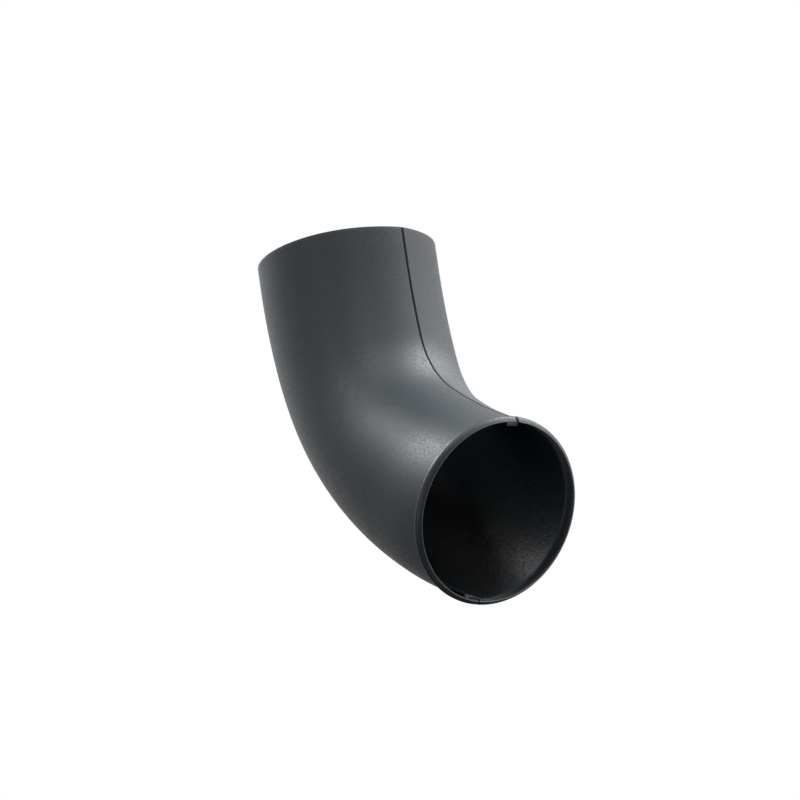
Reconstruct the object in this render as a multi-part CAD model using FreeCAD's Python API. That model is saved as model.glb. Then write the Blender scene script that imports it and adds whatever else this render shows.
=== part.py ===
import FreeCAD, Part
import math
import os

# Downpipe shoe: the beaded outlet elbow at the foot of a round downpipe, in painted steel sheet.
# It is pressed as two half shells, which a lock seam joins along the throat and along the back.
# Frame: origin at the centre of the top opening, +Z up along the upper leg, +X towards the mouth.
# The bend lies in the XZ plane. The near half shell is on the -Y side and the far one on +Y.
# Lengths are in millimetres, and turns and angles in degrees.

# Sheet and pipe
SHEET = 0.5
PIPE_BORE = 87.2
TURN = 58.0

# Throat line, from the top: straight, easing arc, tight arc, easing arc, then the mouth's straight end
THROAT_TOP_STRAIGHT = 15.0
THROAT_EASE_IN_RADIUS = 400.0
THROAT_EASE_IN_ANGLE = 6.0
THROAT_RADIUS = 52.0
THROAT_MAIN_ANGLE = 43.0
THROAT_EASE_OUT_RADIUS = 296.0

# Back line, from the top: straight, easing arc, then one main arc that meets the lower leg
BACK_TOP_STRAIGHT = 8.0
BACK_EASE_RADIUS = 290.0
BACK_EASE_ANGLE = 10.5

# Mouth: a bead rolled outwards, with a foot, a flat crest and a lip that turns back in to the rim
FOOT_LENGTH = 2.6
CREST_LENGTH = 0.6
LIP_LENGTH = 2.8
BEAD_RISE = 1.9
LIP_DROP = 2.1
PLAIN_BEFORE_BEAD = 2.5

# Slight flare of the lower leg before the bead, and the part of the turn over which it grows
FLARE_RISE = 0.6
FLARE_SHARE = 0.2

# Part by which the bead is wider from side to side than between the two stiff seams
BEAD_SPREAD = 0.022

# Lock seam: both edges are folded back inside the pipe and hook into each other
SEAM_HOOK = 4.5
SEAM_CLEARANCE = 0.07

# Faint ridge along the throat's seam: its height, how far it reaches down each side, and the part
# of the turn over which it rises below the straight upper end
RIDGE_RISE = 0.9
RIDGE_REACH = 20.0
RIDGE_START_SHARE = 0.25

# Turn between the facets that round a fold, in degrees
FOLD_FACET_ANGLE = 60.0

# Number of sections along the bend, and of bands on the bead's foot and lip
BEND_SECTIONS = 12
FOOT_BANDS = 2
LIP_BANDS = 2
SEWING_GAP = 0.001

# Sizes that follow from the ones above
OUTER_RADIUS = PIPE_BORE / 2 + SHEET
FOLD_RADIUS = (3 * SHEET + 2 * SEAM_CLEARANCE) / 2
FOLD_INNER_RADIUS = FOLD_RADIUS - SHEET
FOLD_START = FOLD_RADIUS + SEAM_CLEARANCE / 2
FOLD_END = FOLD_START + SEAM_HOOK
WALL_END = FOLD_START - 2 * FOLD_RADIUS - SEAM_CLEARANCE
BEAD_LENGTH = FOOT_LENGTH + CREST_LENGTH + LIP_LENGTH
MOUTH_STRAIGHT = BEAD_LENGTH + PLAIN_BEFORE_BEAD
NEAR_SIDE = 1
FAR_SIDE = -1


class Profile:
    """A line in the bend's plane: straights and arcs, each tangent to the one before."""

    def __init__(self, start_x, pieces):
        """Take the start's x and a list of (length, radius), with None as a straight's radius."""
        self.start_x = start_x
        self.pieces = pieces
        self.length = sum(length for length, radius in pieces)

    def point(self, distance):
        """Point that lies this far along the line from the top."""
        x = self.start_x
        z = 0.0
        angle = 0.0
        left = distance
        for length, radius in self.pieces:
            step = min(length, left)
            left -= step
            if radius is None:
                x += step * math.sin(angle)
                z -= step * math.cos(angle)
                continue
            after = angle + step / radius
            x += radius * (math.cos(angle) - math.cos(after))
            z -= radius * (math.sin(after) - math.sin(angle))
            angle = after
        return FreeCAD.Vector(x, 0, z)

    def end(self):
        """Last point of the line."""
        return self.point(self.length)

    def crossing(self, pivot, angle):
        """Point where the line crosses the plane that leans by this angle through the pivot."""
        normal = travel(angle)
        low = 0.0
        high = self.length
        for _ in range(60):
            middle = (low + high) / 2
            if (self.point(middle) - pivot).dot(normal) < 0:
                low = middle
            else:
                high = middle
        return self.point(low)


def travel(angle):
    """Direction of flow after a turn by this angle in radians."""
    return FreeCAD.Vector(math.sin(angle), 0, -math.cos(angle))


def throatward(angle):
    """Direction across the pipe to its throat side, after a turn by this angle in radians."""
    return FreeCAD.Vector(math.cos(angle), 0, math.sin(angle))


def arc(radius, turn):
    """Piece of a profile: an arc of this radius and this turn in degrees."""
    return radius * math.radians(turn), radius


def throat_profile():
    """The inside of the bend, from the top opening to the mouth."""
    ease_out_turn = TURN - THROAT_EASE_IN_ANGLE - THROAT_MAIN_ANGLE
    pieces = [
        (THROAT_TOP_STRAIGHT, None),
        arc(THROAT_EASE_IN_RADIUS, THROAT_EASE_IN_ANGLE),
        arc(THROAT_RADIUS, THROAT_MAIN_ANGLE),
        arc(THROAT_EASE_OUT_RADIUS, ease_out_turn),
        (MOUTH_STRAIGHT, None),
    ]
    return Profile(OUTER_RADIUS, pieces)


def back_profile(throat):
    """The outside of the bend. Its main arc is as large as the two legs leave room for."""
    turn = math.radians(TURN)
    main_turn = TURN - BACK_EASE_ANGLE
    top = [(BACK_TOP_STRAIGHT, None), arc(BACK_EASE_RADIUS, BACK_EASE_ANGLE)]
    mouth_back = throat.end() - throatward(turn) * (2 * OUTER_RADIUS)
    # Distance from the lower leg's back line grows evenly with the main arc's radius
    offsets = []
    for radius in (OUTER_RADIUS, 2 * OUTER_RADIUS):
        end = Profile(-OUTER_RADIUS, top + [arc(radius, main_turn)]).end()
        offsets.append((mouth_back - end).dot(throatward(turn)))
    main_radius = OUTER_RADIUS * (1 + offsets[0] / (offsets[0] - offsets[1]))
    bend = top + [arc(main_radius, main_turn)]
    end_straight = (mouth_back - Profile(-OUTER_RADIUS, bend).end()).dot(travel(turn))
    return Profile(-OUTER_RADIUS, bend + [(end_straight, None)])


def ring_matrix(throat_point, back_point, spread=0.0):
    """Matrix that puts a round section, drawn about the origin, between two profile points."""
    across = throat_point - back_point
    centre = (throat_point + back_point) / 2
    squeeze = across.Length / (2 * OUTER_RADIUS)
    u = across / across.Length
    w = u.cross(FreeCAD.Vector(0, -1, 0))
    return FreeCAD.Matrix(
        u.x * squeeze, 0, w.x, centre.x,
        0, -1 - spread, 0, centre.y,
        u.z * squeeze, 0, w.z, centre.z,
        0, 0, 0, 1,
    )


def placed(edges, matrix):
    """Closed wire of these edges, moved by a matrix and squeezed to an ellipse."""
    return Part.Wire([edge.transformGeometry(matrix).Edges[0] for edge in edges])


class Section:
    """Cross-section of both half shells with their lock seams, drawn about the origin.

    Local x points to the throat and local y to the near side. A place near a seam is given by
    its distance from the seam line along the skin, positive to the near side, and its depth
    under the skin. The seam on the back is the mirror image of the seam on the throat, but has
    no ridge.
    """

    def __init__(self, skin_radius, slope, ridge):
        """Take the skin's radius, its slope against the axis, and the height of the ridge.

        The slope thickens the cut through the wall.
        """
        self.skin_radius = skin_radius
        self.stretch = math.hypot(1, slope)
        self.ridge = ridge

    def at(self, along, depth, mirror):
        """Point at this distance along the skin and this depth under it."""
        angle = along / OUTER_RADIUS
        inset = min(depth, SHEET) * self.stretch + max(depth - SHEET, 0)
        radius = self.skin_radius - inset
        if mirror > 0:
            radius += self.ridge * max(0, 1 - abs(along) / RIDGE_REACH) ** 2
        return FreeCAD.Vector(mirror * radius * math.cos(angle), radius * math.sin(angle), 0)

    def layer(self, start, end, depth, mirror):
        """Arc that follows the skin at one depth."""
        places = (start, (start + end) / 2, end)
        return [Part.Arc(*[self.at(along, depth, mirror) for along in places]).toShape()]

    def cut(self, along, start, end, mirror):
        """Straight cut through the sheet at its edge."""
        return [Part.LineSegment(self.at(along, start, mirror), self.at(along, end, mirror)).toShape()]

    def fold(self, centre, radius, start, end, mirror):
        """Facets round a fold, from one bearing to another in degrees.

        The centre is given as distance along and depth. Bearing 0 points along the skin to the
        near side and bearing 90 points into the pipe.
        """
        facets = max(1, round(abs(end - start) / FOLD_FACET_ANGLE))
        points = []
        for index in range(facets + 1):
            bearing = math.radians(start + (end - start) * index / facets)
            along = centre[0] + radius * math.cos(bearing)
            points.append(self.at(along, centre[1] + radius * math.sin(bearing), mirror))
        return [Part.LineSegment(*pair).toShape() for pair in zip(points, points[1:])]

    def near_hook(self, mirror):
        """The near shell's edge, folded back under itself, from its inner to its outer skin."""
        hook_top = 2 * (SHEET + SEAM_CLEARANCE)
        hook_bottom = hook_top + SHEET
        centre = (FOLD_START, FOLD_RADIUS)
        edges = self.fold(centre, FOLD_INNER_RADIUS, 270, 90, mirror)
        edges += self.layer(FOLD_START, FOLD_END, hook_top, mirror)
        edges += self.cut(FOLD_END, hook_top, hook_bottom, mirror)
        edges += self.layer(FOLD_END, FOLD_START, hook_bottom, mirror)
        return edges + self.fold(centre, FOLD_RADIUS, 90, 270, mirror)

    def far_hook(self, mirror):
        """The far shell's edge, which steps down under the near shell's hook and folds over it."""
        tongue_top = SHEET + SEAM_CLEARANCE
        tongue_bottom = tongue_top + SHEET
        floor_top = 3 * tongue_top
        floor_bottom = floor_top + SHEET
        round_outer = FOLD_RADIUS + SEAM_CLEARANCE
        corner = (WALL_END, FOLD_RADIUS)
        under = (FOLD_START, FOLD_RADIUS)
        over = (FOLD_END, (tongue_bottom + floor_top) / 2)
        edges = self.fold(corner, FOLD_INNER_RADIUS, -90, 0, mirror)
        edges += self.fold(under, round_outer + SHEET, 180, 90, mirror)
        edges += self.layer(FOLD_START, FOLD_END, floor_bottom, mirror)
        edges += self.fold(over, FOLD_RADIUS, 90, -90, mirror)
        edges += self.layer(FOLD_END, FOLD_START, tongue_top, mirror)
        edges += self.cut(FOLD_START, tongue_top, tongue_bottom, mirror)
        edges += self.layer(FOLD_START, FOLD_END, tongue_bottom, mirror)
        edges += self.fold(over, FOLD_INNER_RADIUS, -90, 90, mirror)
        edges += self.layer(FOLD_END, FOLD_START, floor_top, mirror)
        edges += self.fold(under, round_outer, 90, 180, mirror)
        return edges + self.fold(corner, FOLD_RADIUS, 0, -90, mirror)

    def outline(self, side):
        """Edges of the half shell on one side, in order from the middle of its skin."""
        if side == NEAR_SIDE:
            hook = self.near_hook
            start = FOLD_START
        else:
            hook = self.far_hook
            start = WALL_END
        quarter = side * OUTER_RADIUS * math.pi / 2
        flank = side * RIDGE_REACH
        wall = [self.at(start, SHEET, -1), self.at(quarter, SHEET, 1), self.at(flank, SHEET, 1)]
        inside = [Part.Arc(*wall).toShape()] + self.layer(flank, start, SHEET, 1)
        to_back = self.layer(quarter, start, 0, -1)
        from_throat = self.layer(start, flank, 0, 1) + self.layer(flank, quarter, 0, 1)
        return to_back + hook(-1)[::-1] + inside + hook(1) + from_throat


def foot_phase(distance):
    """Phase of the bead's foot at this distance before the rim: 0 at its start, pi on the crest."""
    return math.pi * min(BEAD_LENGTH - distance, FOOT_LENGTH) / FOOT_LENGTH


def bead_rise(distance):
    """How far the skin stands out over the flare at this distance before the rim, and its slope."""
    if distance >= LIP_LENGTH:
        phase = foot_phase(distance)
        slope = BEAD_RISE * math.sin(phase) * math.pi / (2 * FOOT_LENGTH)
        return BEAD_RISE * (1 - math.cos(phase)) / 2, slope
    rate = math.pi / (2 * LIP_LENGTH)
    phase = rate * (LIP_LENGTH - distance)
    return BEAD_RISE - LIP_DROP * (1 - math.cos(phase)), LIP_DROP * math.sin(phase) * rate


def flare(share):
    """How far the skin stands out over the plain pipe after this share of the turn."""
    grown = min(1, max(0, share - 1 + FLARE_SHARE) / FLARE_SHARE)
    return FLARE_RISE * grown * grown * (3 - 2 * grown)


def bend_wires(side, throat, back):
    """Outlines along the bend, in planes that fan out from one pivot beside the throat."""
    turn = math.radians(TURN)
    flow = travel(turn)
    first_level = -min(BACK_TOP_STRAIGHT, THROAT_TOP_STRAIGHT)
    last = throat.end() - flow * MOUTH_STRAIGHT
    pivot = FreeCAD.Vector(last.x + (last.z - first_level) * flow.z / flow.x, 0, first_level)
    wires = []
    for index in range(BEND_SECTIONS):
        share = index / (BEND_SECTIONS - 1)
        angle = turn * share
        matrix = ring_matrix(throat.crossing(pivot, angle), back.crossing(pivot, angle))
        ridge = RIDGE_RISE * min(1, share / RIDGE_START_SHARE)
        section = Section(OUTER_RADIUS + flare(share), 0, ridge)
        wires.append(placed(section.outline(side), matrix))
    return wires


def mouth_wire(side, throat, distance):
    """Outline in a plane square to the lower leg, at this distance before the rim."""
    turn = math.radians(TURN)
    rise, slope = bead_rise(distance)
    swell = (1 - math.cos(foot_phase(distance))) / 2
    throat_point = throat.end() - travel(turn) * distance
    back_point = throat_point - throatward(turn) * (2 * OUTER_RADIUS)
    matrix = ring_matrix(throat_point, back_point, BEAD_SPREAD * swell)
    section = Section(OUTER_RADIUS + FLARE_RISE + rise, slope, RIDGE_RISE * (1 - swell))
    return placed(section.outline(side), matrix)


def bead_wires(side, throat):
    """Outlines along the bead, from its foot over the crest to the rim."""
    distances = [BEAD_LENGTH - FOOT_LENGTH * index / FOOT_BANDS for index in range(FOOT_BANDS + 1)]
    distances += [LIP_LENGTH * (1 - index / LIP_BANDS) for index in range(LIP_BANDS + 1)]
    return [mouth_wire(side, throat, distance) for distance in distances]


def top_wire(side):
    """Outline of the top opening's edge, square to the upper leg."""
    throat_point = FreeCAD.Vector(OUTER_RADIUS, 0, 0)
    matrix = ring_matrix(throat_point, -throat_point)
    edges = Section(OUTER_RADIUS, 0, 0).outline(side)
    return Part.Wire([Part.Edge(edge.transformed(matrix)) for edge in edges])


def half_shell(side):
    """One pressed half of the elbow, with its folded edges and its half of the bead."""
    throat = throat_profile()
    top = top_wire(side)
    bend = bend_wires(side, throat, back_profile(throat))
    bead = bead_wires(side, throat)
    faces = top.extrude(FreeCAD.Vector(0, 0, bend[0].CenterOfMass.z)).Faces
    faces += Part.makeLoft(bend + bead, False, True).Faces
    faces += [Part.Face(top), Part.Face(bead[-1])]
    skin = Part.makeCompound(faces)
    skin.sewShape(SEWING_GAP)
    solid = Part.makeSolid(Part.Shell(skin.Faces))
    if solid.Volume < 0:
        solid.reverse()
    return solid


def main():
    """Write each half shell to its own file."""
    os.makedirs("parts", exist_ok=True)
    half_shell(NEAR_SIDE).exportStep("parts/near_half_shell.step")
    half_shell(FAR_SIDE).exportStep("parts/far_half_shell.step")


main()
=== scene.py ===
"""Downpipe shoe: the beaded outlet elbow at the foot of a round downpipe, in coated steel sheet.

The elbow is pressed as two half shells, which a lock seam joins along the throat and the back.
Each half is worked out here as one folded sheet of even thickness. A section of the sheet, with
its folded edges, is carried down both legs and round the bend, and swells into the mouth's bead.
Sizes are in millimetres in the classes and become metres when a mesh is made.
"""

import logging
import math
from dataclasses import dataclass, field
from enum import Enum

import bpy
import numpy as np
from mathutils import Matrix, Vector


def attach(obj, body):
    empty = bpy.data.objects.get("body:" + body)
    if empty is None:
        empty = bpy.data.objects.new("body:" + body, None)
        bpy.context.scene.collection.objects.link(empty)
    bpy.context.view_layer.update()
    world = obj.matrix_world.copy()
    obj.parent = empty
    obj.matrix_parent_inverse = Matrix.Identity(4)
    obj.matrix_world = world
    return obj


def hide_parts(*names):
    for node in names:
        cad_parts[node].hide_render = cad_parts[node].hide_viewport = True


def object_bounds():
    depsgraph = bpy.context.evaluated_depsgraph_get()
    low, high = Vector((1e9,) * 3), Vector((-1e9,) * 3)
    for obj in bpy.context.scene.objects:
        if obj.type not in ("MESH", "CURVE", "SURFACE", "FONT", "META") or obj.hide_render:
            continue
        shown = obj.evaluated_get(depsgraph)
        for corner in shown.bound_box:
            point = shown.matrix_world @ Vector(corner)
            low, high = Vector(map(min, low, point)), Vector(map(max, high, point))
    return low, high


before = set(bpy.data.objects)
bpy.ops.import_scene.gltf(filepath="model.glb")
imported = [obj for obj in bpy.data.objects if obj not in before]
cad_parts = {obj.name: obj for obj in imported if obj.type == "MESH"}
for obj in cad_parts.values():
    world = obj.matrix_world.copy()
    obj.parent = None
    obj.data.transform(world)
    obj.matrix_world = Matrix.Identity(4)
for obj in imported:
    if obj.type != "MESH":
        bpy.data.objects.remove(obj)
cad_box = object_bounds()

logging.basicConfig(level=logging.INFO, format="%(name)s: %(message)s")
log = logging.getLogger("downpipe_shoe")

MM = 0.001
BODY = "root"
SHARP_DEGREES = 40.0
WHITE = (1.0, 1.0, 1.0, 1.0)

# Nearly all values of a noise lie between these two.
NOISE_RANGE = (0.3, 0.7)

# Finer octaves on top of a noise: a slow cloud of tones has more than a grain.
CLOUD_OCTAVES = 2.0
GRAIN_OCTAVES = 1.0

Array = np.ndarray


class Side(Enum):
    """Which half shell: the near one lies on -Y and the far one on +Y."""

    NEAR = 1
    FAR = -1


class Finish(Enum):
    """Finish of a face, by the number of its material on each half."""

    COATING = 0
    CUT_EDGE = 1
    # Near-black back coat: partly the real back coat, partly painted shade inside and in the seam's
    # folds.
    BACK_COAT = 2


# Lines and cross-sections


def arc(radius: float, turn: float) -> tuple[float, float]:
    """Length and turn in radians of an arc with this radius and this turn in degrees."""
    return radius * math.radians(turn), math.radians(turn)


def straight(length: float) -> tuple[float, float]:
    """Length and turn of a straight."""
    return length, 0.0


def smooth_step(share: Array) -> Array:
    """Share from 0 to 1, eased at both ends: three times its square less twice its cube."""
    return share * share * (3 - 2 * share)


@dataclass(frozen=True)
class BendLine:
    """A line down the elbow in the bend's plane, of straights and arcs that run into each other.

    The turn per millimetre is a step function of the distance, softened by a moving mean, because
    sheet that is drawn over a tool has no sudden change of curve. Its running sum is the direction,
    and the running sum of the direction is the line.
    """

    start_x: float
    pieces: tuple[tuple[float, float], ...]
    soften: float
    step: float = 0.05

    @property
    def length(self) -> float:
        """Length of the whole line."""
        return sum(length for length, _ in self.pieces)

    def steps(self) -> tuple[Array, float]:
        """Distance to the middle of each step, and the length that fits a whole number of them."""
        count = round(self.length / self.step)
        return (np.arange(count) + 0.5) * self.length / count, self.length / count

    def sharp_rate(self, distance: Array) -> Array:
        """Turn per millimetre of the straight or arc at each distance.

        Args:
            distance: how far down the line.

        Returns:
            Array: radians per millimetre, not yet softened.
        """
        lengths, turns = np.array(self.pieces).T
        piece = np.searchsorted(np.cumsum(lengths), distance, side="right")
        return (turns / lengths)[np.minimum(piece, len(turns) - 1)]

    def sum_up(self, turn_rate: Array, step: float) -> Array:
        """Add up a turn rate to a direction, and the direction to a line.

        Args:
            turn_rate: radians per millimetre in each step.
            step: length of a step.

        Returns:
            Array: x and z of the points between the steps.
        """
        angle = np.cumsum(turn_rate) * step - turn_rate * step / 2
        moves = np.stack([np.sin(angle), -np.cos(angle)], axis=1) * step
        return np.vstack([[self.start_x, 0.0], [self.start_x, 0.0] + np.cumsum(moves, axis=0)])

    def end(self) -> Array:
        """Place where the line ends, with or without the softening."""
        distance, step = self.steps()
        return self.sum_up(self.sharp_rate(distance), step)[-1]

    def trace(self) -> Array:
        """Work out the line. The straights at both ends stay straight, the whole turn stays what
        the arcs give, and the small move of the end is taken back along the line.

        Returns:
            Array: x and z of points that lie one step apart, from the top opening to the rim.
        """
        distance, step = self.steps()
        # The window has an odd number of steps, so that it has a middle one.
        window = int(self.soften / step) | 1
        kernel = np.hanning(window + 2)[1:-1]
        sharp = np.pad(self.sharp_rate(distance), window // 2, mode="edge")
        soft = np.convolve(sharp, kernel / kernel.sum(), "valid")
        first, last = self.pieces[0][0], self.pieces[-1][0]
        soft *= (distance > first) & (distance < self.length - last)
        soft *= sum(turn for _, turn in self.pieces) / (soft.sum() * step)
        line = self.sum_up(soft, step)
        share = np.linspace(0.0, 1.0, len(line))[:, None]
        return line + (self.end() - line[-1]) * smooth_step(share)


@dataclass(frozen=True)
class Elbow:
    """The elbow's path: where each cross-section lies and how the mouth's bead swells it.

    An arc is given as its radius and its turn in degrees.
    """

    skin_radius: float = 44.1
    turn: float = 58.0
    throat_top: float = 15.0
    throat_ease_in: tuple[float, float] = (400.0, 6.0)
    throat_main: tuple[float, float] = (52.0, 43.0)
    throat_ease_out: tuple[float, float] = (296.0, 9.0)
    back_top: float = 8.0
    back_ease: tuple[float, float] = (290.0, 10.5)
    trial_radii: tuple[float, float] = (100.0, 200.0)
    foot_length: float = 2.6
    crest_length: float = 0.6
    lip_length: float = 2.8
    bead_rise: float = 1.83
    lip_drop: float = 2.03
    flare_rise: float = 0.6
    flare_share: float = 0.2
    bead_spread: float = 0.022
    plain_before_bead: float = 2.5
    ridge_rise: float = 0.9
    ridge_reach: float = 20.0
    soften: float = 12.0
    edge_round: float = 0.14
    round_steps: int = 4
    top_steps: int = 4
    bend_steps: int = 104
    plain_steps: int = 3
    bead_steps: int = 26

    @property
    def bead_length(self) -> float:
        """Length of the whole bead, from its foot to the rim."""
        return self.foot_length + self.crest_length + self.lip_length

    @property
    def mouth_straight(self) -> float:
        """Length of the straight end that carries the bead."""
        return self.bead_length + self.plain_before_bead

    def flow(self) -> Array:
        """Direction out of the mouth, as x and z."""
        turn = math.radians(self.turn)
        return np.array([math.sin(turn), -math.cos(turn)])

    def across(self) -> Array:
        """Direction from the back to the throat at the mouth, as x and z."""
        turn = math.radians(self.turn)
        return np.array([math.cos(turn), math.sin(turn)])

    def throat(self) -> BendLine:
        """The inside of the bend.

        Returns:
            BendLine: the line from the top opening to the rim.
        """
        pieces = (
            straight(self.throat_top),
            arc(*self.throat_ease_in),
            arc(*self.throat_main),
            arc(*self.throat_ease_out),
            straight(self.mouth_straight),
        )
        return BendLine(self.skin_radius, pieces, self.soften)

    def back(self) -> BendLine:
        """The outside of the bend, whose main arc is as large as the two legs leave room for.

        The distance from the lower leg's back line grows evenly with the main arc's radius, so
        two trial radii give the one that fits.

        Returns:
            BendLine: the line from the top opening to the rim.
        """
        mouth_back = self.throat().end() - self.across() * 2 * self.skin_radius
        main_turn = self.turn - self.back_ease[1]
        top = (straight(self.back_top), arc(*self.back_ease))

        def miss(radius: float) -> Array:
            """Way from the end of a main arc with this radius to the back of the rim."""
            pieces = (*top, arc(radius, main_turn))
            return mouth_back - BendLine(-self.skin_radius, pieces, self.soften).end()

        small, large = self.trial_radii
        small_miss, large_miss = (miss(radius) @ self.across() for radius in (small, large))
        radius = small + (large - small) * small_miss / (small_miss - large_miss)
        pieces = (*top, arc(radius, main_turn), straight(miss(radius) @ self.flow()))
        return BendLine(-self.skin_radius, pieces, self.soften)

    def swell(self, distance: Array) -> tuple[Array, Array, Array]:
        """Rise of the skin over the flare near the mouth.

        On the bead's foot the rise is half a cosine wave, on the crest it is even, and on the lip
        it falls to the rim as a quarter of a cosine wave. The bead is a little wider from side to
        side than between the two stiff seams, and this spread grows with the foot.

        Args:
            distance: how far before the rim.

        Returns:
            tuple[Array, Array, Array]: the rise, its slope and the spread from side to side.
        """
        rate = math.pi / self.foot_length
        phase = np.clip(rate * (self.bead_length - distance), 0.0, math.pi)
        foot = self.bead_rise * (1 - np.cos(phase)) / 2
        foot_slope = self.bead_rise * np.sin(phase) * rate / 2
        lip_rate = math.pi / (2 * self.lip_length)
        lip_phase = np.clip(lip_rate * (self.lip_length - distance), 0.0, math.pi / 2)
        rise = foot - self.lip_drop * (1 - np.cos(lip_phase))
        slope = foot_slope + self.lip_drop * np.sin(lip_phase) * lip_rate
        return rise, slope, self.bead_spread * foot / self.bead_rise

    def flare(self, turned: Array) -> Array:
        """Rise of the skin over the plain pipe after a share of the turn: a smooth step."""
        grown = np.clip((turned - 1 + self.flare_share) / self.flare_share, 0.0, 1.0)
        return self.flare_rise * smooth_step(grown)


@dataclass(frozen=True)
class Stations:
    """Cross-sections down the elbow. Each array has one row for each cross-section."""

    centre: Array
    across: Array
    before_rim: Array
    turned: Array
    thinning: Array

    @staticmethod
    def rounding(radius: float, steps: int) -> tuple[Array, Array]:
        """Quarter circle that rounds a cut edge.

        Args:
            radius: of the rounding.
            steps: number of steps round it.

        Returns:
            tuple[Array, Array]: distance from the end and loss of thickness on each side.
        """
        phase = np.linspace(0.0, math.pi / 2, steps + 1)
        return radius * (1 - np.cos(phase)), radius * (1 - np.sin(phase))

    @staticmethod
    def level(line: Array, levels: Array) -> Array:
        """Points where a line comes down to the levels, each as x and z."""
        return np.stack([np.interp(-levels, -line[:, 1], line[:, 0]), levels], axis=1)

    @staticmethod
    def cross(line: Array, pivot: Array, fan: Array) -> Array:
        """Points where a line crosses the fan's planes. A point's bearing from the pivot tells
        which plane it lies in, so the line is read against that bearing.

        Args:
            line: x and z of the line's points.
            pivot: x and z of the fan's pivot.
            fan: lean of each plane in radians.

        Returns:
            Array: x and z of one point for each plane.
        """
        offset = pivot - line
        bearing = np.arctan2(offset[:, 1], offset[:, 0])
        return np.stack([np.interp(fan, bearing, line[:, axis]) for axis in (0, 1)], axis=1)

    @classmethod
    def along(cls, elbow: Elbow) -> "Stations":
        """Lay the cross-sections: level ones down the straight top, a fan round one pivot beside
        the throat for the bend, and square ones down the mouth's straight end.

        Args:
            elbow: the path's sizes.

        Returns:
            Stations: all cross-sections in order, from the top opening to the rim.
        """
        throat = elbow.throat().trace()
        back = elbow.back().trace()
        ends, losses = cls.rounding(elbow.edge_round, elbow.round_steps)
        plain_top = np.linspace(0.0, -elbow.back_top, elbow.top_steps + 1)[1:]
        levels = np.concatenate([-ends, plain_top])

        flow = elbow.flow()
        last = throat[-1] - flow * elbow.mouth_straight
        pivot_x = last[0] + (last[1] + elbow.back_top) * flow[1] / flow[0]
        pivot = np.array([pivot_x, -elbow.back_top])
        fan = np.linspace(0.0, math.radians(elbow.turn), elbow.bend_steps + 1)[1:]

        plain = np.linspace(elbow.mouth_straight, elbow.bead_length, elbow.plain_steps + 1)[1:]
        bead = np.linspace(elbow.bead_length, ends[-1], elbow.bead_steps + 1)[1:]
        before = np.concatenate([plain, bead, ends[::-1][1:]])
        mouth_throat = throat[-1] - before[:, None] * flow
        mouth_back = mouth_throat - elbow.across() * 2 * elbow.skin_radius

        throats, backs = (
            np.vstack([cls.level(line, levels), cls.cross(line, pivot, fan), mouth])
            for line, mouth in ((throat, mouth_throat), (back, mouth_back))
        )
        far_up = np.full(len(levels) + len(fan), elbow.mouth_straight)
        thinning = np.zeros(len(throats))
        thinning[: len(losses)] = losses
        thinning[-len(losses) :] = losses[::-1]
        return cls(
            centre=(throats + backs) / 2,
            across=(throats - backs) / (2 * elbow.skin_radius),
            before_rim=np.concatenate([far_up, before]),
            turned=np.concatenate([0 * levels, fan / fan[-1], 1 + 0 * before]),
            thinning=thinning,
        )


# The folded sheet


@dataclass(frozen=True)
class SheetPath:
    """The middle of a sheet in cross-section, with the direction in which it runs.

    A place is its distance along the skin from the throat's seam line, positive to the near
    side, and its depth under the skin.
    """

    along: Array
    depth: Array
    run_along: Array
    run_depth: Array

    @staticmethod
    def line(start: tuple[float, float], end: tuple[float, float], steps: int) -> "SheetPath":
        """Straight run between two places, without its last point.

        Args:
            start: along and depth of its first point.
            end: along and depth of the point that it leads to.
            steps: number of steps.

        Returns:
            SheetPath: the points on the run.
        """
        share = np.arange(steps) / steps
        vector = np.subtract(end, start)
        unit = vector / np.hypot(*vector)
        along = start[0] + vector[0] * share
        depth = start[1] + vector[1] * share
        return SheetPath(along, depth, np.full(steps, unit[0]), np.full(steps, unit[1]))

    @staticmethod
    def fold(
        centre: tuple[float, float], radius: float, start: float, end: float, steps: int
    ) -> "SheetPath":
        """Run round a fold, without its last point. Bearing 0 points along the skin to the near
        side and bearing 90 into the pipe.

        Args:
            centre: along and depth of the fold's centre.
            radius: of the sheet's middle.
            start: first bearing in degrees.
            end: last bearing in degrees.
            steps: number of steps.

        Returns:
            SheetPath: the points on the fold.
        """
        bearing = np.radians(start + (end - start) * np.arange(steps) / steps)
        way = math.copysign(1.0, end - start)
        return SheetPath(
            centre[0] + radius * np.cos(bearing),
            centre[1] + radius * np.sin(bearing),
            -np.sin(bearing) * way,
            np.cos(bearing) * way,
        )

    @staticmethod
    def join(*runs: "SheetPath") -> "SheetPath":
        """Put runs one behind the other."""
        names = ("along", "depth", "run_along", "run_depth")
        return SheetPath(*(np.concatenate([getattr(run, name) for run in runs]) for name in names))

    def mirrored(self, half_girth: float) -> "SheetPath":
        """The same run at the back's seam, walked the other way.

        Args:
            half_girth: distance along the skin from the throat's seam line to the back's.

        Returns:
            SheetPath: the run that leads from the wall to the sheet's edge.
        """
        return SheetPath(
            half_girth - self.along[::-1],
            self.depth[::-1],
            self.run_along[::-1],
            -self.run_depth[::-1],
        )


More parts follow.
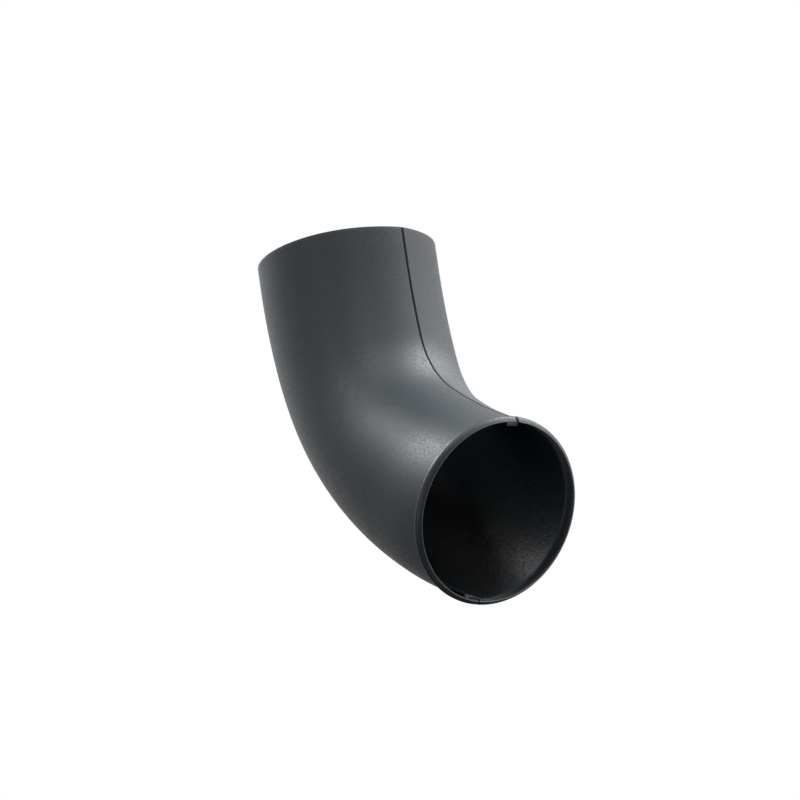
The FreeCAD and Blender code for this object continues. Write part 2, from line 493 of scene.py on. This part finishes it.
@dataclass(frozen=True)
class LockSeam:
    """The seam's folds. The near half's edge is folded back under itself, and the far half's
    edge steps down under that hook and folds over it."""

    sheet: float = 0.5
    clearance: float = 0.07
    hook: float = 4.5
    fold_steps: int = 12
    run_steps: int = 5

    @property
    def fold(self) -> float:
        """Outer radius of a fold: three sheets and two clearances share two of them."""
        return (3 * self.sheet + 2 * self.clearance) / 2

    @property
    def middle(self) -> float:
        """Radius of the sheet's middle in a fold."""
        return self.fold - self.sheet / 2

    @property
    def start(self) -> float:
        """Place where the near half's hook starts, and its wall."""
        return self.fold + self.clearance / 2

    @property
    def end(self) -> float:
        """Place where the near half's hook ends."""
        return self.start + self.hook

    @property
    def far_wall(self) -> float:
        """Place where the far half's wall starts, beside its step down."""
        return self.start - 2 * self.fold - self.clearance

    def near_edge(self) -> SheetPath:
        """The near half from its hook's cut edge to its wall.

        Returns:
            SheetPath: the middle of the sheet.
        """
        hook = self.fold + self.middle
        return SheetPath.join(
            SheetPath.line((self.end, hook), (self.start, hook), self.run_steps),
            SheetPath.fold((self.start, self.fold), self.middle, 90, 270, self.fold_steps),
        )

    def far_edge(self) -> SheetPath:
        """The far half from its tongue's cut edge to its wall: over the hook, round its end,
        back under it and up the step beside it.

        Returns:
            SheetPath: the middle of the sheet.
        """
        tongue = self.sheet + self.clearance + self.sheet / 2
        under = self.fold + self.clearance + self.sheet / 2
        lowest = self.fold + under
        return SheetPath.join(
            SheetPath.line((self.start, tongue), (self.end, tongue), self.run_steps),
            SheetPath.fold((self.end, tongue + self.middle), self.middle, -90, 90, self.fold_steps),
            SheetPath.line((self.end, lowest), (self.start, lowest), self.run_steps),
            SheetPath.fold((self.start, self.fold), under, 90, 180, self.fold_steps),
            SheetPath.fold((self.far_wall, self.fold), self.middle, 0, -90, self.fold_steps // 2),
        )


@dataclass(frozen=True)
class HalfShell:
    """One pressed half of the elbow: a folded sheet carried along the cross-sections."""

    name: str
    node: str
    side: Side
    elbow: Elbow = field(default_factory=Elbow)
    seam: LockSeam = field(default_factory=LockSeam)
    wall_steps: int = 132
    groove_shade_depth: float = 0.015
    rim_lean: float = 0.67
    lean_reach: float = 1.8

    def sheet_path(self) -> SheetPath:
        """The whole half in cross-section, from its edge at the throat to its edge at the back.

        Returns:
            SheetPath: the middle of the sheet.
        """
        near = self.side is Side.NEAR
        edge = self.seam.near_edge() if near else self.seam.far_edge()
        start = self.seam.start if near else self.seam.far_wall
        half_girth = math.pi * self.elbow.skin_radius * self.side.value
        middle = self.seam.sheet / 2
        wall = SheetPath.line((start, middle), (half_girth - start, middle), self.wall_steps)
        wall_end = SheetPath.line((half_girth - start, middle), (half_girth, middle), 1)
        return SheetPath.join(edge, wall, wall_end, edge.mirrored(half_girth))

    def surface(self) -> Array:
        """Points of the outer and the inner face.

        A point of the wall at depth h under the skin stands at skin radius minus h times the
        skin's stretch, in the direction of its distance along the skin divided by the plain
        radius, and the folds lie under the wall. The throat's seam stands in a faint ridge. The
        ring is then squeezed to the width between throat and back and set in its plane. Close
        to the rim the inner face lies further back than the outer, so that the sheet's end
        stands square to the lip.

        Returns:
            Array: cross-sections by points round the closed outline by x, y and z.
        """
        path = self.sheet_path()
        stations = Stations.along(self.elbow)
        sign = self.side.value
        half = self.seam.sheet / 2 - stations.thinning[:, None]
        away = np.stack([path.run_depth * sign, -path.run_along * sign])
        outer = [path.along + away[0] * half, path.depth + away[1] * half]
        inner = [path.along - away[0] * half, path.depth - away[1] * half]
        along = np.concatenate([outer[0], inner[0][:, ::-1]], axis=1)
        depth = np.concatenate([outer[1], inner[1][:, ::-1]], axis=1)
        lean = self.rim_lean * np.clip(depth, 0.0, self.seam.sheet)
        near_rim = np.clip(1 - stations.before_rim / self.lean_reach, 0.0, 1.0)[:, None]
        before = stations.before_rim[:, None] + lean * near_rim
        rise, slope, spread = self.elbow.swell(before)
        wall_depth = np.minimum(depth, self.seam.sheet)
        plain = self.elbow.skin_radius + self.elbow.flare(stations.turned)[:, None]
        radius = plain + rise - wall_depth * np.hypot(1.0, slope)
        radius -= depth - wall_depth
        flank = np.clip(1 - np.abs(along) / self.elbow.ridge_reach, 0.0, 1.0)
        radius += self.elbow.ridge_rise * flank**2 * (1 - spread / self.elbow.bead_spread)
        angle = along / self.elbow.skin_radius
        local = radius * np.cos(angle)
        shift = (stations.before_rim[:, None] - before)[..., None] * self.elbow.flow()
        plane = stations.centre[:, None, :] + local[..., None] * stations.across[:, None, :] + shift
        side = -radius * np.sin(angle) * (1 + spread)
        return np.stack([plane[..., 0], side, plane[..., 1]], axis=-1)

    def in_groove_shade(self) -> Array:
        """Strips of the outer face that lie deep beside the seam line, which get the black back
        coat as painted shade.

        Returns:
            Array: true for each such strip.
        """
        path = self.sheet_path()
        depth = path.depth - path.run_along * self.side.value * self.seam.sheet / 2
        return depth > self.groove_shade_depth

    def in_fold_shade(self) -> Array:
        """Strips of the sheet's end between the fold's outer layers, black as painted shade.

        Returns:
            Array: true for each such strip.
        """
        inner = self.seam.run_steps + self.seam.fold_steps // 2
        strips = np.arange(len(self.sheet_path().along) - 1)
        return (strips < inner) | (strips >= len(strips) - inner)

    def finishes(self, rows: int, ring: int) -> Array:
        """Finish of each face: the coating outside and in the bead's hollow, the back coat on
        the rest of the inside, whose near-black tone is partly painted shade, the same back coat as
        painted shade in the seam's groove and between the folds' layers at both ends, and the cut
        edge along the rim, the top edge and the folds' edges.

        Args:
            rows: number of cross-sections.
            ring: number of points round the closed outline.

        Returns:
            Array: number of each face's finish, first of the skin and then of both ends.
        """
        half = ring // 2
        bead_rows = self.elbow.bead_steps + self.elbow.round_steps
        skin = np.full((rows - 1, ring), Finish.COATING.value)
        # The inside gets the back coat, near black as painted shade; the bead's hollow keeps the
        # coating.
        skin[:-bead_rows, half : ring - 1] = Finish.BACK_COAT.value
        skin[:, [half - 1, ring - 1]] = Finish.CUT_EDGE.value
        skin[: self.elbow.round_steps] = Finish.CUT_EDGE.value
        skin[-self.elbow.round_steps :] = Finish.CUT_EDGE.value
        # Painted shade: the strips deep in the seam's groove get the black back coat.
        skin[:, :half] = np.where(self.in_groove_shade(), Finish.BACK_COAT.value, skin[:, :half])
        # Painted shade: the ends of the folds' inner layers get the black back coat, not the cut
        # edge.
        end = np.where(self.in_fold_shade(), Finish.BACK_COAT.value, Finish.CUT_EDGE.value)
        return np.concatenate([skin.ravel(), end, end])

    def build(self) -> bpy.types.Object:
        """Make the mesh: a grid round the closed outline, closed by quads at both ends.

        Returns:
            bpy.types.Object: the half shell, with smooth faces and sharp cut edges.
        """
        points = self.surface()
        rows, ring = points.shape[:2]
        index = np.arange(rows * ring).reshape(rows, ring)
        turned = np.roll(index, -1, axis=1)
        skin = np.stack([index[:-1], turned[:-1], turned[1:], index[1:]], axis=-1).reshape(-1, 4)
        outer = np.arange(ring // 2 - 1)
        inner = ring - 1 - outer
        cap = np.stack([outer, inner, inner - 1, outer + 1], axis=-1)
        faces = np.concatenate([skin, cap, cap[:, ::-1] + (rows - 1) * ring])
        if self.side is Side.FAR:
            faces = faces[:, ::-1]
        return new_piece(self.name, points.reshape(-1, 3) * MM, faces, self.finishes(rows, ring))

    def dress(self, piece: bpy.types.Object, materials: dict[Finish, bpy.types.Material]) -> None:
        """Give the half its materials, in the order of the finishes' numbers.

        Args:
            piece: the half shell's object.
            materials: the material of each finish.
        """
        for finish in Finish:
            piece.data.materials.append(materials[finish])


def new_piece(name: str, points: Array, faces: Array, finishes: Array) -> bpy.types.Object:
    """Make an object from quads.

    Args:
        name: of the object and its mesh.
        points: corners in metres.
        faces: four corners of each face, counter-clockwise from outside.
        finishes: number of each face's finish.

    Returns:
        bpy.types.Object: the object, linked to the scene, at the origin.
    """
    count, corners = faces.shape
    mesh = bpy.data.meshes.new(name)
    mesh.vertices.add(len(points))
    mesh.vertices.foreach_set("co", points.astype(np.float32).ravel())
    mesh.loops.add(faces.size)
    mesh.loops.foreach_set("vertex_index", faces.astype(np.int32).ravel())
    mesh.polygons.add(count)
    mesh.polygons.foreach_set("loop_start", np.arange(0, faces.size, corners, dtype=np.int32))
    mesh.polygons.foreach_set("loop_total", np.full(count, corners, np.int32))
    mesh.polygons.foreach_set("material_index", finishes.astype(np.int32))
    mesh.polygons.foreach_set("use_smooth", np.ones(count, bool))
    mesh.update(calc_edges=True)
    mesh.validate()
    mesh.set_sharp_from_angle(angle=math.radians(SHARP_DEGREES))
    piece = bpy.data.objects.new(name, mesh)
    bpy.context.scene.collection.objects.link(piece)
    return piece


# Finishes


def linear(hex_colour: str) -> tuple[float, float, float, float]:
    """Turn a hex colour into linear light by the sRGB curve.

    Args:
        hex_colour: sRGB colour as a hash and six digits.

    Returns:
        tuple[float, float, float, float]: linear red, green and blue, and full alpha.
    """
    srgb = [int(hex_colour[i : i + 2], 16) / 255 for i in (1, 3, 5)]
    rgb = [c / 12.92 if c <= 0.04045 else ((c + 0.055) / 1.055) ** 2.4 for c in srgb]
    return (*rgb, 1.0)


def per_metre(size_mm: float) -> float:
    """Noise scale at which one grain has this size in millimetres."""
    return 1 / (size_mm * MM)


def add_node(
    tree: bpy.types.NodeTree,
    kind: str,
    settings: dict[str, object] | None = None,
    inputs: dict[str | int, object] | None = None,
) -> bpy.types.Node:
    """Add one node with its settings, values and links.

    Args:
        tree: the node tree.
        kind: the node's type.
        settings: properties of the node by name.
        inputs: a value, or another node's output, for each input socket by name or number.

    Returns:
        bpy.types.Node: the node.
    """
    node = tree.nodes.new(kind)
    for name, value in (settings or {}).items():
        setattr(node, name, value)
    for name, value in (inputs or {}).items():
        if isinstance(value, bpy.types.NodeSocket):
            tree.links.new(value, node.inputs[name])
        else:
            node.inputs[name].default_value = value
    return node


@dataclass(frozen=True)
class MottledCoat:
    """A coat whose colour wanders between two tones, in patches of a size in millimetres."""

    name: str
    tones: tuple[str, str]
    patch_mm: float
    octaves: float
    roughness: float

    def material(self) -> bpy.types.Material:
        """Make the material: a noise gives the share of the second tone.

        Returns:
            bpy.types.Material: the coat, of even gloss.
        """
        material = bpy.data.materials.new(self.name)
        material.use_nodes = True
        tree = material.node_tree
        shader = tree.nodes["Principled BSDF"]
        place = add_node(tree, "ShaderNodeTexCoord").outputs["Object"]
        patches = {"Vector": place, "Scale": per_metre(self.patch_mm), "Detail": self.octaves}
        share = add_node(tree, "ShaderNodeTexNoise", None, patches).outputs["Fac"]
        first, second = (linear(tone) for tone in self.tones)
        mixed = {"Factor": share, "A": first, "B": second}
        colour = add_node(tree, "ShaderNodeMix", {"data_type": "RGBA"}, mixed)
        tree.links.new(colour.outputs["Result"], shader.inputs["Base Color"])
        shader.inputs["Roughness"].default_value = self.roughness
        return material


@dataclass(frozen=True)
class CoatedSheet(MottledCoat):
    """Polyester coating on galvanised steel sheet, roller-coated or sprayed and baked.

    It is satin, not glossy, because the resin holds a fine matting powder. Its skin has a grain
    of about a millimetre, which glitters faintly in the highlights, over a very shallow orange
    peel of a few millimetres, and its tone wanders a little every few centimetres.
    """

    name: str = "polyester_coated_steel_anthracite"
    tones: tuple[str, str] = ("#383f44", "#3d454a")
    patch_mm: float = 45.0
    octaves: float = CLOUD_OCTAVES
    roughness: float = 0.5
    roughness_spread: float = 0.18
    specular: float = 0.5
    grain_mm: float = 1.2
    grain_height_mm: float = 0.035
    peel_mm: float = 4.0
    peel_height_mm: float = 0.02

    def material(self) -> bpy.types.Material:
        """Make the material. The grain varies both the gloss and, over the peel, the relief.

        Returns:
            bpy.types.Material: the coating.
        """
        material = super().material()
        tree = material.node_tree
        shader = tree.nodes["Principled BSDF"]
        place = add_node(tree, "ShaderNodeTexCoord").outputs["Object"]
        grain, peel = (
            add_node(
                tree,
                "ShaderNodeTexNoise",
                None,
                {"Vector": place, "Scale": per_metre(size_mm), "Detail": GRAIN_OCTAVES},
            ).outputs["Fac"]
            for size_mm in (self.grain_mm, self.peel_mm)
        )
        gloss = add_node(
            tree,
            "ShaderNodeMapRange",
            None,
            {
                "Value": grain,
                "From Min": NOISE_RANGE[0],
                "From Max": NOISE_RANGE[1],
                "To Min": self.roughness - self.roughness_spread / 2,
                "To Max": self.roughness + self.roughness_spread / 2,
            },
        )
        relief = add_node(
            tree,
            "ShaderNodeBump",
            None,
            {"Height": peel, "Distance": self.peel_height_mm * MM, "Strength": 1.0},
        )
        fine_relief = add_node(
            tree,
            "ShaderNodeBump",
            None,
            {
                "Height": grain,
                "Distance": self.grain_height_mm * MM,
                "Strength": 1.0,
                "Normal": relief.outputs["Normal"],
            },
        )
        tree.links.new(gloss.outputs["Result"], shader.inputs["Roughness"])
        tree.links.new(fine_relief.outputs["Normal"], shader.inputs["Normal"])
        shader.inputs["Specular IOR Level"].default_value = self.specular
        return material


@dataclass(frozen=True)
class BackCoatAndShade(CoatedSheet):
    """Back coat on the inside of the sheet: a thinner resin, duller and coarser than the coating.
    Its almost black tone is partly the real back coat and partly painted shade, so that the inside
    of the pipe stays dark. It is also laid as painted shade in the seam's groove and between the
    folds' layers."""

    name: str = "polyester_back_coat_and_painted_shade"
    tones: tuple[str, str] = ("#1e262d", "#242d34")
    roughness_spread: float = 0.26
    specular: float = 0.25
    grain_height_mm: float = 0.12


@dataclass(frozen=True)
class ShearedEdge(MottledCoat):
    """Sheared edge of the sheet under a thin coat: lighter than its faces, because the zinc
    shines through, with fine marks of the shear that are shorter than the sheet is thick."""

    name: str = "sheared_edge_thinly_coated"
    tones: tuple[str, str] = ("#71777a", "#8a9093")
    patch_mm: float = 0.35
    octaves: float = GRAIN_OCTAVES
    roughness: float = 0.5


@dataclass(frozen=True)
class FloorPaint(MottledCoat):
    """Matt paint on the studio's floor: pale, and so even that its tone hardly wanders."""

    name: str = "pale_floor_paint"
    tones: tuple[str, str] = ("#efefee", "#f3f3f2")
    patch_mm: float = 1000.0 / 3
    octaves: float = CLOUD_OCTAVES
    roughness: float = 0.8


# Studio


def facing(position: Array, back: Array, roll: float) -> Matrix:
    """Matrix of a lamp or camera that looks against a direction.

    Args:
        position: where it stands.
        back: unit direction from what it looks at towards it.
        roll: turn of its picture about the line of sight, in radians.

    Returns:
        Matrix: the world matrix.
    """
    right = np.cross(-back, [0.0, 0.0, 1.0])
    right /= np.linalg.norm(right)
    up = np.cross(right, -back)
    turned_right = math.cos(roll) * right + math.sin(roll) * up
    turned_up = -math.sin(roll) * right + math.cos(roll) * up
    columns = np.stack([turned_right, turned_up, back, position], axis=1)
    return Matrix([*columns.tolist(), [0.0, 0.0, 0.0, 1.0]])


@dataclass(frozen=True)
class SoftLamp:
    """A soft lamp that looks at the object. Its azimuth is 0 on -Y and 90 on +X, in degrees, its
    sizes are in metres and its power is in watts."""

    name: str
    azimuth: float
    elevation: float
    power: float
    width: float = 0.9
    height: float = 0.9
    distance: float = 2.0

    def place(self, target: Array) -> None:
        """Hang the lamp so that it faces the target.

        Args:
            target: point in metres that the lamp looks at.
        """
        lamp = bpy.data.lights.new(self.name, "AREA")
        lamp.shape = "RECTANGLE"
        lamp.size = self.width
        lamp.size_y = self.height
        lamp.energy = self.power
        azimuth = math.radians(self.azimuth)
        elevation = math.radians(self.elevation)
        level = np.array([math.sin(azimuth), -math.cos(azimuth)]) * math.cos(elevation)
        back = np.array([*level, math.sin(elevation)])
        item = bpy.data.objects.new(self.name, lamp)
        bpy.context.scene.collection.objects.link(item)
        item.matrix_world = facing(target + back * self.distance, back, 0.0)


@dataclass(frozen=True)
class Studio:
    """Camera, lamps, surroundings and floor.

    The camera was fitted to the outlines in the photograph. Its azimuth is 0 on +X and grows
    towards -Y, in degrees, and its distance and sideways moves are in metres, as the floor's
    sizes are.
    """

    camera_azimuth: float = 40.3055
    camera_elevation: float = -17.5465
    camera_roll: float = -8.2907
    camera_distance: float = 3.94148
    camera_right: float = 0.0263226
    camera_up: float = -0.0701880
    camera_clip: tuple[float, float] = (0.1, 100.0)
    lens_mm: float = 360.0
    sensor_mm: float = 36.0
    floor_level: float = -3.5
    floor_size: float = 2.4
    floor_paint: FloorPaint = field(default_factory=FloorPaint)
    ambient: float = 0.02
    backdrop_edge: tuple[float, float] = (0.15, 0.75)
    backdrop_foot: tuple[float, float] = (-0.30, 0.2)
    lamps: tuple[SoftLamp, ...] = (
        SoftLamp("left_softbox", -80.5, 54.0, 57.0, height=0.6),
        SoftLamp("front_softbox", 2.0, 47.0, 10.0),
        SoftLamp("front_right_softbox", 58.0, 48.0, 12.0),
        SoftLamp("back_right_softbox", 139.0, 50.0, 43.6),
        SoftLamp("back_softbox", 174.0, 38.0, 7.6),
        SoftLamp("right_softbox", 131.0, 2.0, 13.5),
        SoftLamp("low_front_softbox", 6.0, -19.0, 5.5),
    )

    def view_back(self) -> Array:
        """Unit direction from the object to the camera.

        Returns:
            Array: x, y and z.
        """
        azimuth = math.radians(self.camera_azimuth)
        elevation = math.radians(self.camera_elevation)
        level = np.array([math.cos(azimuth), -math.sin(azimuth)]) * math.cos(elevation)
        return np.array([*level, math.sin(elevation)])

    def camera(self) -> None:
        """Set the camera of the photograph."""
        roll = math.radians(self.camera_roll)
        back = self.view_back()
        right, up = np.array(facing(np.zeros(3), back, roll))[:3, :2].T
        position = back * self.camera_distance + right * self.camera_right + up * self.camera_up
        data = bpy.data.cameras.new("photograph")
        data.lens = self.lens_mm
        data.sensor_width = self.sensor_mm
        data.clip_start, data.clip_end = self.camera_clip
        item = bpy.data.objects.new("photograph", data)
        bpy.context.scene.collection.objects.link(item)
        item.matrix_world = facing(position, back, roll)
        bpy.context.scene.camera = item

    def surroundings(self) -> None:
        """White backdrop behind the object, and a dim plain light from the rest of the room.

        The camera, gloss and anything clear see the backdrop at a strength of 1, which is white.
        For gloss it ends beside and below the object, and the room on the camera's side is dim,
        so the coating's gloss is lit by the backdrop only where it turns away from the
        photograph's viewpoint. The strength is the backdrop's share where gloss or a clear
        material looks, no less than the room's dim light, and 1 where the camera looks.
        """
        world = bpy.data.worlds.new("studio_surroundings")
        world.use_nodes = True
        tree = world.node_tree
        tree.nodes.clear()
        path = add_node(tree, "ShaderNodeLightPath")
        way = add_node(tree, "ShaderNodeTexCoord").outputs["Generated"]
        towards = {0: way, 1: -self.view_back()}
        behind = add_node(tree, "ShaderNodeVectorMath", {"operation": "DOT_PRODUCT"}, towards)
        upward = add_node(tree, "ShaderNodeSeparateXYZ", None, {0: way})
        beside, below = (
            add_node(
                tree,
                "ShaderNodeMapRange",
                {"interpolation_type": "SMOOTHSTEP"},
                {"Value": value, "From Min": start, "From Max": end},
            ).outputs["Result"]
            for value, (start, end) in (
                (behind.outputs["Value"], self.backdrop_edge),
                (upward.outputs["Z"], self.backdrop_foot),
            )
        )
        shares = {0: beside, 1: below}
        backdrop = add_node(tree, "ShaderNodeMath", {"operation": "MULTIPLY"}, shares)
        seen = add_node(
            tree,
            "ShaderNodeMath",
            {"operation": "MAXIMUM"},
            {0: path.outputs["Is Glossy Ray"], 1: path.outputs["Is Transmission Ray"]},
        )
        reflected = add_node(
            tree,
            "ShaderNodeMix",
            None,
            {"Factor": seen.outputs[0], "A": 0.0, "B": backdrop.outputs[0]},
        )
        room = add_node(
            tree,
            "ShaderNodeMath",
            {"operation": "MAXIMUM"},
            {0: reflected.outputs["Result"], 1: self.ambient},
        )
        strength = add_node(
            tree,
            "ShaderNodeMix",
            None,
            {"Factor": path.outputs["Is Camera Ray"], "A": room.outputs[0], "B": 1.0},
        )
        light = {"Color": WHITE, "Strength": strength.outputs["Result"]}
        background = add_node(tree, "ShaderNodeBackground", None, light)
        add_node(tree, "ShaderNodeOutputWorld", None, {"Surface": background.outputs["Background"]})
        bpy.context.scene.world = world

    def floor(self) -> None:
        """Pale floor, far enough below the hanging elbow to leave the camera's view free."""
        half = self.floor_size / 2
        outline = ((-half, -half), (half, -half), (half, half), (-half, half))
        corners = [(x, y, self.floor_level) for x, y in outline]
        mesh = bpy.data.meshes.new("studio_floor")
        mesh.from_pydata(corners, [], [(0, 1, 2, 3)])
        mesh.materials.append(self.floor_paint.material())
        floor = bpy.data.objects.new("studio_floor", mesh)
        bpy.context.scene.collection.objects.link(floor)

    def build(self) -> None:
        """Set up the whole studio, with the lamps turned to the middle of the object."""
        self.camera()
        self.surroundings()
        self.floor()
        low, high = cad_box
        target = (np.array(low) + np.array(high)) / 2
        for lamp in self.lamps:
            lamp.place(target)


# Assembly


@dataclass(frozen=True)
class DownpipeShoe:
    """Both half shells in their finishes."""

    coating: CoatedSheet = field(default_factory=CoatedSheet)
    edge: ShearedEdge = field(default_factory=ShearedEdge)
    # The back coat's near-black tone is partly painted shade, and it serves as painted shade in the
    # seam.
    back_coat_and_shade: BackCoatAndShade = field(default_factory=BackCoatAndShade)
    halves: tuple[HalfShell, ...] = (
        HalfShell("near_half_shell_pressed", "near_half_shell", Side.NEAR),
        HalfShell("far_half_shell_pressed", "far_half_shell", Side.FAR),
    )

    def build(self) -> None:
        """Make and dress both halves, and let each stand for its solid."""
        materials = {
            Finish.COATING: self.coating.material(),
            Finish.CUT_EDGE: self.edge.material(),
            Finish.BACK_COAT: self.back_coat_and_shade.material(),
        }
        for half in self.halves:
            piece = half.build()
            half.dress(piece, materials)
            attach(piece, BODY)
            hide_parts(half.node)
            log.info("%s: %d faces", piece.name, len(piece.data.polygons))


def main() -> None:
    """Build the studio and the elbow."""
    bpy.context.scene.view_settings.view_transform = "Standard"
    Studio().build()
    DownpipeShoe().build()


if __name__ == "__main__":
    main()
